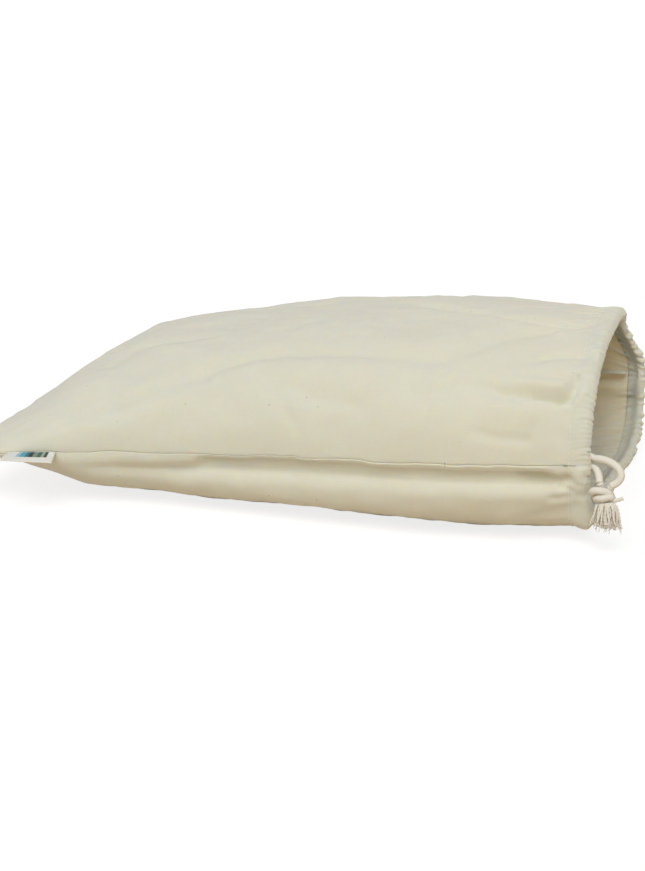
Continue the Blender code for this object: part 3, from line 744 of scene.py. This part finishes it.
def add_body(sheet, side, coarse, fine):
    """Rows of one panel up to the stitch line; returns the last row and the panel's edge.

    The edge runs from the mouth along the near side, the closed end and the far side, as vertex
    numbers, points, inward directions and heights of the seam.
    """
    near = []
    end = []
    far = []
    previous = None
    for x in body_stations():
        shares = fine if x > MOUTH_START else coarse
        plain = cloth_row(x, side, shares)
        index = sheet.add(askew(x, plain), shares * FLAT_WIDTH, x - CLOSED_X)
        level = section_at(x)["seam"] + side * GAP / 2
        if previous is None:
            end = [(number, point, level) for number, point in zip(index, plain)]
        else:
            sheet.strip(previous, index)
            if x < STITCH_X:
                near.append((index[0], plain[0], level))
                far.append((index[-1], plain[-1], level))
        previous = index
    numbers, points, levels = zip(*(near[::-1] + end + far))
    inward = np.array([(0, 1)] * len(near) + [(1, 0)] * len(end) + [(0, -1)] * len(far), float)
    waves = [seam_wave(p[0], p[1:2], np.zeros(1), FLAT_WIDTH)[0] for p in points]
    return previous, (np.array(numbers), np.array(points), inward, np.array(levels) + waves)


def add_casing(sheet, side, fine, previous):
    """Rows of the casing, its fold and its hem, open at the near seam for the cord."""
    slit = UPPER_SLIT if side > 0 else LOWER_SLIT
    opened = int(math.ceil(slit / mouth_arc(side) * (len(fine) - 1)))
    rim = askew(MOUTH_X, cloth_row(MOUTH_X, side, fine, RIM_DRAW))
    for x, inset, face, slide, folded, length in casing_rows():
        points = askew(min(x, MOUTH_X), cloth_row(x, side, fine, inset, face, slide))
        first = opened if folded else 0
        if slide > 0 and not folded:
            points[:opened] = rim[:opened]
        row = sheet.add(points, fine * FLAT_WIDTH, STITCH_X - CLOSED_X + length)
        sheet.strip(previous[first:], row[first:])
        previous = row


def cloth_panel(name, side, thickness):
    """One panel: body, gathered mouth, casing with its hem inside, and seam allowances."""
    sheet = Sheet()
    coarse = np.linspace(0.0, 1.0, BODY_COLUMNS + 1)
    fine = np.linspace(0.0, 1.0, BODY_COLUMNS * MOUTH_FACTOR + 1)
    previous, edge = add_body(sheet, side, coarse, fine)
    add_seam_allowance(sheet, side, edge)
    add_casing(sheet, side, fine, previous)

    points = np.concatenate(sheet.rows)
    flat = np.concatenate(sheet.flat)
    faces = sheet.faces if side < 0 else [face[::-1] for face in sheet.faces]
    used = np.zeros(len(points), bool)
    for face in faces:
        used[list(face)] = True
    place = np.cumsum(used) - 1
    faces = [tuple(place[list(face)]) for face in faces]
    obj = make_object(name, points[used], faces, flat[used])
    thicken(obj, "Cloth", thickness, True)
    return obj


def curve_through(points, spacing):
    """Points about spacing apart along a Catmull-Rom curve through the given ones."""
    route = np.array(points, float)
    padded = np.vstack([2 * route[0] - route[1], route, 2 * route[-1] - route[-2]])
    fine = []
    for index in range(1, len(padded) - 2):
        a, b, c, d = padded[index - 1:index + 3]
        for t in np.linspace(0.0, 1.0, CURVE_STEPS, endpoint=False):
            fine.append(0.5 * (2 * b + (c - a) * t + (2 * a - 5 * b + 4 * c - d) * t**2
                               + (3 * b - a - 3 * c + d) * t**3))
    fine.append(route[-1])
    fine = np.array(fine)
    arc = running_length(step_lengths(fine))
    count = max(int(round(arc[-1] / spacing)), 2)
    wanted = np.linspace(0.0, arc[-1], count + 1)
    return np.stack([np.interp(wanted, arc, fine[:, axis]) for axis in range(3)], axis=1)


def turning_frames(path):
    """Tangent and two side directions at each point of a path, without twist."""
    tangent = np.gradient(path, axis=0)
    tangent /= np.linalg.norm(tangent, axis=1)[:, None]
    first = np.cross(tangent[0], (0.0, 0.0, 1.0))
    if np.linalg.norm(first) < 0.1:
        first = np.cross(tangent[0], (1.0, 0.0, 0.0))
    side = [first / np.linalg.norm(first)]
    for direction in tangent[1:]:
        moved = side[-1] - direction * (side[-1] @ direction)
        side.append(moved / np.linalg.norm(moved))
    side = np.array(side)
    return tangent, side, np.cross(tangent, side)


def tube(path, sides, radius):
    """Points, faces and flat coordinates of a closed tube; radius(angle, length) is its surface."""
    tangent, side, up = turning_frames(path)
    arc = running_length(step_lengths(path))[:, None]
    angle = np.linspace(0.0, 2 * math.pi, sides, endpoint=False)[None, :]
    reach = radius(angle, arc)
    ring = np.cos(angle)[:, :, None] * side[:, None, :] + np.sin(angle)[:, :, None] * up[:, None, :]
    points = path[:, None, :] + ring * reach[:, :, None]
    flat = [np.broadcast_to(angle * 2.0, reach.shape), np.broadcast_to(arc, reach.shape)]
    faces = []
    for row in range(len(path) - 1):
        for column in range(sides):
            a = row * sides + column
            b = row * sides + (column + 1) % sides
            faces.append((a, b, b + sides, a + sides))
    last = (len(path) - 1) * sides
    faces.append(tuple(range(sides))[::-1])
    faces.append(tuple(range(last, last + sides)))
    return points.reshape(-1, 3), faces, np.stack(flat, axis=2).reshape(-1, 2)


def join_parts(parts):
    """Joins (points, faces, flat) parts into one."""
    points = []
    faces = []
    flat = []
    start = 0
    for part_points, part_faces, part_flat in parts:
        points.append(part_points)
        flat.append(part_flat)
        faces += [tuple(index + start for index in face) for face in part_faces]
        start += len(part_points)
    return np.concatenate(points), faces, np.concatenate(flat)


def braid(radius, lift):
    """Surface of a braided cord: two sets of strands that cross over each other."""
    def surface(angle, length):
        first = np.sin(BRAID_STRANDS * angle + length / BRAID_PITCH)
        second = np.sin(BRAID_STRANDS * angle - length / BRAID_PITCH)
        strand = np.where(first * second > 0, np.abs(first), np.abs(second))
        return radius + lift * (strand - BRAID_LEVEL)
    return surface


def cord_route():
    """The whole cord: knot, upper strand, both casings round the mouth, lower strand, knot."""
    x = FOLD_X - CORD_SETBACK
    around = []
    for side in (1, -1):
        points, normals, arc, total = section_row(x, side, np.linspace(0.0, 1.0, CORD_POINTS))
        inside = askew(x, points - normals * FOLD_RADIUS)[arc > CORD_ENTRY][:-1:2]
        around += list(inside[::side])
    return list(UPPER_STRAND) + around + list(LOWER_STRAND)


def stitch_parts(side, rng):
    """Stitches of thread along the casing's line."""
    parts = []
    count = int(mouth_arc(side) / STITCH_PITCH) * STITCH_POINTS
    shares = np.arange(count + 1) / count
    normals = section_row(STITCH_X, side, shares)[1]
    row = askew(STITCH_X, cloth_row(STITCH_X, side, shares) + normals * STITCH_HEIGHT)
    for first in range(0, count, STITCH_POINTS):
        path = row[first:first + STITCH_POINTS].copy()
        lift = rng.uniform(0.0, STITCH_UNEVEN)
        path[1:3] += normals[first + 1:first + 3] * (STITCH_LIFT + lift)
        path[[0, 3]] -= normals[[first, first + 3]] * STITCH_DEPTH
        parts.append(tube(curve_through(path, THREAD_STEP), THREAD_SIDES, thread))
    return parts


def put(socket, value):
    """Joins an output to an input, or sets the input to a number or colour."""
    if isinstance(value, bpy.types.NodeSocket):
        socket.id_data.links.new(value, socket)
    else:
        socket.default_value = value


def fill(node, **values):
    """Puts outputs or values in a node's sockets. An underscore stands for a space."""
    for name, value in values.items():
        put(node.inputs[name.replace("_", " ")], value)


def add_node(tree, kind, *values, **named):
    """A shader node with outputs or values in its first sockets and in named ones."""
    node = tree.nodes.new("ShaderNode" + kind)
    for socket, value in zip(node.inputs, values):
        put(socket, value)
    fill(node, **named)
    return node


def math_node(tree, operation, *values):
    """A Math node on outputs or numbers; returns its output."""
    node = add_node(tree, "Math")
    node.operation = operation
    for socket, value in zip(node.inputs, values):
        put(socket, value)
    return node.outputs[0]


def new_group(name, inputs, outputs):
    """A shader node group with the given sockets; returns it with its input and output nodes."""
    group = bpy.data.node_groups.new(name, "ShaderNodeTree")
    for label, kind, default in inputs:
        socket = group.interface.new_socket(label, in_out="INPUT", socket_type=kind)
        if default is not None:
            socket.default_value = default
    for label in outputs:
        group.interface.new_socket(label, in_out="OUTPUT", socket_type="NodeSocketFloat")
    return group, group.nodes.new("NodeGroupInput"), group.nodes.new("NodeGroupOutput")


def noise(tree, vector, scale, detail=3.0, roughness=0.55):
    """Noise over a vector; returns its value."""
    node = add_node(tree, "TexNoise", Vector=vector, Scale=scale, Detail=detail, Roughness=roughness)
    return node.outputs["Fac"]


def stretched(tree, vector, scale):
    """The vector times a scale for each axis."""
    return add_node(tree, "Mapping", Vector=vector, Scale=scale).outputs["Vector"]


def weave_group():
    """Plain weave: thread height and slubs over flat cloth coordinates, in metres."""
    group, given, result = new_group(
        "plain_weave",
        (("Vector", "NodeSocketVector", None), ("Threads per metre", "NodeSocketFloat", CLOTH_THREADS)),
        ("Height", "Slubs"),
    )
    vector = given.outputs["Vector"]
    split = add_node(group, "SeparateXYZ", vector)
    rate = math_node(group, "MULTIPLY", given.outputs["Threads per metre"], math.pi)
    across = math_node(group, "SINE", math_node(group, "MULTIPLY", split.outputs[0], rate))
    along = math_node(group, "SINE", math_node(group, "MULTIPLY", split.outputs[1], rate))
    over = math_node(group, "MULTIPLY", across, along)
    blend = add_node(group, "Mix", Factor=math_node(group, "MULTIPLY_ADD", over, 0.5, 0.5),
                     A=math_node(group, "ABSOLUTE", across), B=math_node(group, "ABSOLUTE", along))
    fine, long = SLUB_SCALE
    thick_warp = noise(group, stretched(group, vector, (fine, long, 1.0)), 1.0, detail=2.0)
    thick_weft = noise(group, stretched(group, vector, (long, fine, 1.0)), 1.0, detail=2.0)
    slubs = math_node(group, "MULTIPLY", math_node(group, "ADD", thick_warp, thick_weft), 0.5)
    height = math_node(group, "MULTIPLY_ADD", slubs, SLUB_HEIGHT, blend.outputs["Result"])
    fill(result, Height=height, Slubs=slubs)
    return group


def fleck_group():
    """Sparse brown seed flecks over flat cloth coordinates: a mask."""
    group, given, result = new_group(
        "seed_flecks",
        (("Vector", "NodeSocketVector", None), ("Amount", "NodeSocketFloat", 0.5)),
        ("Mask",),
    )
    place = stretched(group, given.outputs["Vector"], FLECK_SCALE)
    cells = add_node(group, "TexVoronoi", Vector=place, Scale=1.0)
    near = math_node(group, "LESS_THAN", cells.outputs["Distance"], FLECK_SIZE)
    pick = add_node(group, "SeparateColor", cells.outputs["Color"])
    chosen = math_node(group, "LESS_THAN", pick.outputs[0], given.outputs["Amount"])
    fill(result, Mask=math_node(group, "MULTIPLY", near, chosen))
    return group


def place_group(tree, name, maker, vector, **values):
    """A node of the named group, which is made the first time, over a vector."""
    node = add_node(tree, "Group")
    node.node_tree = bpy.data.node_groups.get(name) or maker()
    fill(node, Vector=vector, **values)
    return node


def mix_colour(tree, factor, first, second):
    """A mix of two colours or outputs; returns its output."""
    node = add_node(tree, "Mix")
    node.data_type = "RGBA"
    ends = [value if isinstance(value, bpy.types.NodeSocket) else (*value, 1.0)
            for value in (first, second)]
    fill(node, Factor=factor, A=ends[0], B=ends[1])
    return node.outputs["Result"]


def new_material(name, roughness, sheen, glow):
    """A matt textile, its nodes and its flat coordinates. glow is how far light spreads inside it."""
    material = bpy.data.materials.new(name)
    material.use_nodes = True
    tree = material.node_tree
    shader = tree.nodes["Principled BSDF"]
    fill(shader, Roughness=roughness, Metallic=0.0, Specular_IOR_Level=0.2, Sheen_Weight=sheen,
         Sheen_Roughness=0.5, Subsurface_Weight=1.0, Subsurface_Radius=GLOW_COLOURS,
         Subsurface_Scale=glow)
    flat = add_node(tree, "UVMap")
    flat.uv_map = "flat"
    return material, tree, shader, flat.outputs["UV"]


def bump(tree, shader, height, strength, distance):
    """Raises the surface by a height."""
    node = add_node(tree, "Bump", Height=height, Strength=strength, Distance=distance)
    fill(shader, Normal=node.outputs["Normal"])


def cloth_material(colours):
    """Unbleached cotton: plain weave, slubs, seed flecks and slight changes of tone."""
    material, tree, shader, flat = new_material("cotton_cloth", roughness=0.92, sheen=0.08, glow=0.001)
    weave = place_group(tree, "plain_weave", weave_group, flat, Threads_per_metre=CLOTH_THREADS)
    flecks = place_group(tree, "seed_flecks", fleck_group, flat, Amount=FLECK_AMOUNT)
    tone = noise(tree, flat, CLOTH_TONE[0], detail=4.0, roughness=0.6)
    shade = math_node(tree, "MULTIPLY_ADD", weave.outputs["Slubs"], *SLUB_SHADE)
    base = mix_colour(tree, shade, colours.cloth_dark, colours.cloth)
    tone = math_node(tree, "MULTIPLY", tone, CLOTH_TONE[1])
    warm = mix_colour(tree, tone, base, colours.cloth_dark)
    fleck = math_node(tree, "MULTIPLY", flecks.outputs["Mask"], FLECK_SHARE)
    fill(shader, Base_Color=mix_colour(tree, fleck, warm, FLECK_COLOUR))
    bump(tree, shader, weave.outputs["Height"], strength=0.35, distance=0.00012)
    return material


def cord_material(colours):
    """Cotton thread: fine fibres along the strands."""
    material, tree, shader, flat = new_material("cotton_cord", roughness=0.9, sheen=0.12, glow=0.0002)
    fibres = noise(tree, stretched(tree, flat, FIBRE_SCALE), 1.0)
    tone = noise(tree, flat, CORD_TONE[0])
    base = mix_colour(tree, fibres, colours.cord_dark, colours.cord)
    tone = math_node(tree, "MULTIPLY", tone, CORD_TONE[1])
    fill(shader, Base_Color=mix_colour(tree, tone, base, colours.cord_dark))
    bump(tree, shader, fibres, strength=0.5, distance=0.0002)
    return material


def label_material(colours):
    """White woven tape with plain bands of colour on its upper leaf."""
    material, tree, shader, flat = new_material("label_tape", roughness=0.7, sheen=0.05, glow=0.0002)
    split = add_node(tree, "SeparateXYZ", flat)
    share = math_node(tree, "MULTIPLY", split.outputs[0], 1.0 / (LABEL_WIDTH * MM))
    ramp = add_node(tree, "ValToRGB", share)
    ramp.color_ramp.interpolation = "CONSTANT"
    stops = ramp.color_ramp.elements
    stops[0].color = (*colours.tape, 1.0)
    stops.remove(stops[1])
    for position, colour in LABEL_BANDS:
        stops.new(position).color = (*colour, 1.0)
    across = math_node(tree, "SUBTRACT", split.outputs[1], LABEL_PRINT_MIDDLE * MM)
    inside = math_node(tree, "LESS_THAN", math_node(tree, "ABSOLUTE", across), LABEL_PRINT_HALF * MM)
    fill(shader, Base_Color=mix_colour(tree, inside, colours.tape, ramp.outputs["Color"]))
    weave = place_group(tree, "plain_weave", weave_group, flat, Threads_per_metre=TAPE_THREADS)
    bump(tree, shader, weave.outputs["Height"], strength=0.3, distance=0.00006)
    return material


class BagColours(bpy.types.PropertyGroup):
    """Colours of the bag's materials."""

    cloth: FloatVectorProperty(
        name="Cloth", description="Lit tone of the cloth", subtype="COLOR", size=3,
        default=(0.800, 0.778, 0.680))
    cloth_dark: FloatVectorProperty(
        name="Cloth, dark threads", description="Darker threads of the cloth", subtype="COLOR", size=3,
        default=(0.720, 0.684, 0.560))
    cord: FloatVectorProperty(
        name="Cord", description="Light fibres of the cord", subtype="COLOR", size=3,
        default=(0.89, 0.87, 0.755))
    cord_dark: FloatVectorProperty(
        name="Cord, dark fibres", description="Darker fibres of the cord", subtype="COLOR", size=3,
        default=(0.79, 0.76, 0.63))
    tape: FloatVectorProperty(
        name="Tape", description="Ground of the label tape", subtype="COLOR", size=3,
        default=(0.78, 0.78, 0.73))


class BagSizes(bpy.types.PropertyGroup):
    """Sizes of the bag's cloth and cord."""

    cloth_thickness: FloatProperty(
        name="Cloth thickness", description="Thickness of the cloth", default=0.0004, unit="LENGTH")
    cord_diameter: FloatProperty(
        name="Cord diameter", description="Thickness of the drawstring", default=0.0042, unit="LENGTH")
    braid_lift: FloatProperty(
        name="Braid lift", description="How far the cord's strands stand out", default=0.0003,
        unit="LENGTH")


class BAG_OT_cloth(bpy.types.Operator):
    """Makes both cloth panels with their casings"""

    bl_idname = "bag.cloth"
    bl_label = "Cloth panels"

    def execute(self, context):
        material = cloth_material(context.scene.bag_colours)
        for name, side in (("upper", 1), ("lower", -1)):
            panel = cloth_panel(f"{name}_cloth", side, context.scene.bag_sizes.cloth_thickness)
            panel.data.materials.append(material)
            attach(panel, "root")
            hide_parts(f"{name}_panel")
        return {"FINISHED"}


class BAG_OT_stitches(bpy.types.Operator):
    """Makes the line of stitches that holds the casing"""

    bl_idname = "bag.stitches"
    bl_label = "Casing stitches"

    def execute(self, context):
        rng = np.random.default_rng(21)
        parts = stitch_parts(1, rng) + stitch_parts(-1, rng)
        stitches = make_object("casing_stitches", *join_parts(parts))
        stitches.data.materials.append(cord_material(context.scene.bag_colours))
        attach(stitches, "root")
        return {"FINISHED"}


class BAG_OT_cord(bpy.types.Operator):
    """Makes the drawstring, its knot and its tassel"""

    bl_idname = "bag.cord"
    bl_label = "Cord, knot and tassel"

    def execute(self, context):
        sizes = context.scene.bag_sizes
        # The solids bring a plain material of this name, and the cord keeps it
        material = bpy.data.materials.get("cotton_cord") or cord_material(context.scene.bag_colours)
        radius = sizes.cord_diameter / 2 / MM
        path = curve_through(cord_route(), CORD_STEP)
        cord = make_object("cord", *tube(path, CORD_SIDES, braid(radius, sizes.braid_lift / MM)))
        tight = braid(radius * KNOT_SWELL, sizes.braid_lift * KNOT_LIFT / MM)
        turns = [tube(curve_through(end, KNOT_STEP) + np.array(KNOT_CENTRE), CORD_SIDES, tight)
                 for end in (KNOT_TURNS, KNOT_SECOND_END)]
        knot = make_object("knot_turns", *join_parts(turns))
        tassel = make_object("tassel_yarns", *join_parts(tassel_parts()))
        for piece, node in ((cord, "drawstring"), (knot, "knot"), (tassel, "tassel")):
            piece.data.materials.append(material)
            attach(piece, "root")
            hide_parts(node)
        return {"FINISHED"}


def yarn(path, radius, tip, rng):
    """One twisted yarn along a path, thinner towards its frayed tip."""
    middle = curve_through(path, YARN_STEP)
    length = float(step_lengths(middle).sum())
    start = rng.uniform(0.0, FULL_TURN)

    def surface(angle, arc):
        share = np.clip(arc / length, 0.0, 1.0)
        twist = 1 + YARN_STRANDS * np.cos(2 * angle + arc * YARN_TWIST + start)
        return radius * (1 - (1 - tip) * smooth_step(share, YARN_THINS, 1.0)) * twist

    return tube(middle, YARN_SIDES, surface)


def yarn_path(index, rng):
    """Points of one of the tassel's yarns from the knot down, splayed, bent and of uneven length."""
    level = np.array([1.0, 1.0, 0.0])
    root = np.array(KNOT_CENTRE) + TASSEL_ROOT
    angle = YARN_TURN * index
    spread = math.sqrt((index + 0.5) / YARNS)
    start = np.array([math.cos(angle) * TASSEL_BUNDLE[0] * spread,
                      math.sin(angle) * TASSEL_BUNDLE[1] * spread, BUNDLE_RISE - spread])
    out = np.array([start[0] * SPLAY[0] + SPLAY_SHIFT, min(start[1], SPLAY_BACK) * SPLAY[1], 0.0])
    out += rng.normal(0.0, SPLAY_SPREAD, 3) * level
    length = YARN_LENGTH * rng.uniform(*YARN_LENGTHS) * (1 - OUTER_SHORTER * spread**2)
    bend = rng.normal(0.0, BEND_SPREAD, 3) * level
    path = []
    for share in np.linspace(0.0, 1.0, YARN_POINTS):
        swing = bend * math.sin(BEND_RATE * share + index) + rng.normal(0.0, WAVER, 3) * share
        fallen = out * share**SPLAY_CURVE + (0, 0, -length * share)
        path.append(root + start + fallen + swing * share)
    return path


def tassel_parts():
    """Twisted yarns of both cord ends, frayed at their tips, and one cut strand beside them."""
    rng = np.random.default_rng(31)
    parts = []
    for index in range(YARNS):
        path = yarn_path(index, rng)
        radius = YARN_RADIUS * rng.uniform(*YARN_RADII)
        parts.append(yarn(path, radius, rng.uniform(*YARN_TIPS), rng))
        for _ in range(2):
            fray = rng.normal(0.0, FRAY_SPREAD, 3) - (0, 0, rng.uniform(*FRAY_LENGTHS))
            tip = np.array([path[-1], path[-1] + 0.5 * fray, path[-1] + fray])
            parts.append(tube(tip, FRAY_SIDES, thread))
    parts.append(yarn(np.array(KNOT_CENTRE) + CUT_STRAND, 1.0, 0.95, rng))
    return parts


def thread(angle, arc):
    """Surface of a single loose thread."""
    return THREAD_RADIUS + 0 * (angle + arc)


def tape_profile():
    """Section (out, height) of the folded tape, from its root over the fold and back."""
    reach = LABEL_REACH - TAPE_FOLD
    fold = [(reach + TAPE_FOLD * math.sin(turn), TAPE_FOLD * math.cos(turn))
            for turn in np.linspace(0, math.pi, FOLD_POINTS)]
    top = [(out, TAPE_FOLD * min(1.0, TAPE_PINCH + out / TAPE_OPENS))
           for out in np.linspace(-TAPE_ROOT, reach, LEAF_POINTS)[:-1]]
    return top + fold + [(out, -height) for out, height in reversed(top)]


class BAG_OT_label(bpy.types.Operator):
    """Makes the folded label tape in the side seam"""

    bl_idname = "bag.label"
    bl_label = "Label"

    def execute(self, context):
        profile = tape_profile()
        along = running_length(np.hypot(*np.diff(np.array(profile), axis=0).T))
        sheet = Sheet()
        previous = None
        for share in np.linspace(-0.5, 0.5, TAPE_COLUMNS):
            x = LABEL_X + share * LABEL_WIDTH
            size = section_at(x)
            root = size["sway"] - size["half"]
            points = []
            for out, height in profile:
                reach = max(out, 0.0)
                drop = (LABEL_DROP + LABEL_TILT * share) * (reach / LABEL_REACH) ** LABEL_CURL
                slide = (LABEL_SKEW + LABEL_FAN * share) * out
                points.append((x - LEAN * root + slide, root - out, size["seam"] + height - drop))
            row = sheet.add(np.array(points), (share + 0.5) * LABEL_WIDTH, along)
            if previous is not None:
                sheet.strip(previous, row)
            previous = row
        points = np.concatenate(sheet.rows)
        label = make_object("folded_label", points, sheet.faces, np.concatenate(sheet.flat))
        thicken(label, "Tape", TAPE_THICKNESS * MM, False)
        label.data.materials.append(label_material(context.scene.bag_colours))
        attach(label, "root")
        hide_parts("label")
        return {"FINISHED"}


class BAG_OT_stage(bpy.types.Operator):
    """Makes the floor, the lights and the camera"""

    bl_idname = "bag.stage"
    bl_label = "Floor, lights and camera"

    def execute(self, context):
        add_floor()
        add_lights()
        add_camera(context)
        return {"FINISHED"}


def add_floor():
    """A wide pale floor. It looks white to the camera and throws warm light on the bag."""
    bpy.ops.object.select_all(action="DESELECT")
    bpy.ops.mesh.primitive_plane_add(size=FLOOR_SIZE, location=FLOOR_PLACE)
    floor = bpy.context.object
    floor.name = "floor"
    material = bpy.data.materials.new("pale_floor")
    material.use_nodes = True
    tree = material.node_tree
    shader = tree.nodes["Principled BSDF"]
    fill(shader, Base_Color=FLOOR_COLOUR, Roughness=1.0, Specular_IOR_Level=0.0)
    glow = add_node(tree, "Emission", Color=(1.0, 1.0, 1.0, 1.0), Strength=FLOOR_GLOW)
    matt = add_node(tree, "BsdfDiffuse", Color=FLOOR_SHADE)
    seen = add_node(tree, "AddShader", glow.outputs[0], matt.outputs[0])
    path = add_node(tree, "LightPath")
    mix = add_node(tree, "MixShader", path.outputs["Is Camera Ray"], shader.outputs[0],
                   seen.outputs[0])
    fill(tree.nodes["Material Output"], Surface=mix.outputs[0])
    floor.data.materials.append(material)


def add_lights():
    """A large soft light high in front and a pale sky."""
    world = bpy.data.worlds.new("studio")
    world.use_nodes = True
    fill(world.node_tree.nodes["Background"], Color=SKY_COLOUR, Strength=SKY_STRENGTH)
    bpy.context.scene.world = world
    bpy.ops.object.light_add(type="SUN", location=KEY_FROM)
    key = bpy.context.object
    key.name = "key"
    key.data.energy = KEY_STRENGTH
    key.data.angle = math.radians(KEY_SPREAD)
    key.rotation_euler = (-Vector(KEY_FROM)).to_track_quat("-Z", "Y").to_euler()


def add_camera(context):
    """The camera, from the near side of the mouth, a little above."""
    azimuth = math.radians(CAMERA_AZIMUTH)
    elevation = math.radians(CAMERA_ELEVATION)
    back = Vector((math.sin(azimuth) * math.cos(elevation),
                   -math.cos(azimuth) * math.cos(elevation), math.sin(elevation)))
    data = bpy.data.cameras.new("camera")
    data.lens = CAMERA_LENS
    data.sensor_width = CAMERA_SENSOR
    data.clip_end = CAMERA_SIGHT
    camera = bpy.data.objects.new("camera", data)
    camera.location = Vector(CAMERA_TARGET) + back * CAMERA_DISTANCE
    camera.rotation_euler = (math.pi / 2 - elevation, 0.0, azimuth)
    context.scene.collection.objects.link(camera)
    context.scene.camera = camera
    context.scene.view_settings.view_transform = "Standard"


class BAG_PT_panel(bpy.types.Panel):
    """Sizes, colours and pieces of the drawstring bag"""

    bl_idname = "BAG_PT_panel"
    bl_label = "Drawstring bag"
    bl_space_type = "VIEW_3D"
    bl_region_type = "UI"
    bl_category = "Bag"

    def draw(self, context):
        for group in (context.scene.bag_sizes, context.scene.bag_colours):
            for name in group.__annotations__:
                self.layout.prop(group, name)
        for operator in OPERATORS:
            self.layout.operator(operator.bl_idname)


OPERATORS = (BAG_OT_stage, BAG_OT_cord, BAG_OT_cloth, BAG_OT_stitches, BAG_OT_label)
CLASSES = (BagColours, BagSizes, *OPERATORS, BAG_PT_panel)


def register():
    for cls in CLASSES:
        bpy.utils.register_class(cls)
    bpy.types.Scene.bag_colours = PointerProperty(type=BagColours)
    bpy.types.Scene.bag_sizes = PointerProperty(type=BagSizes)


def unregister():
    del bpy.types.Scene.bag_sizes
    del bpy.types.Scene.bag_colours
    for cls in reversed(CLASSES):
        bpy.utils.unregister_class(cls)


def main():
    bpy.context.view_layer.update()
    register()
    bpy.ops.bag.stage()
    bpy.ops.bag.cord()
    bpy.ops.bag.cloth()
    bpy.ops.bag.stitches()
    bpy.ops.bag.label()


if __name__ == "__main__":
    main()
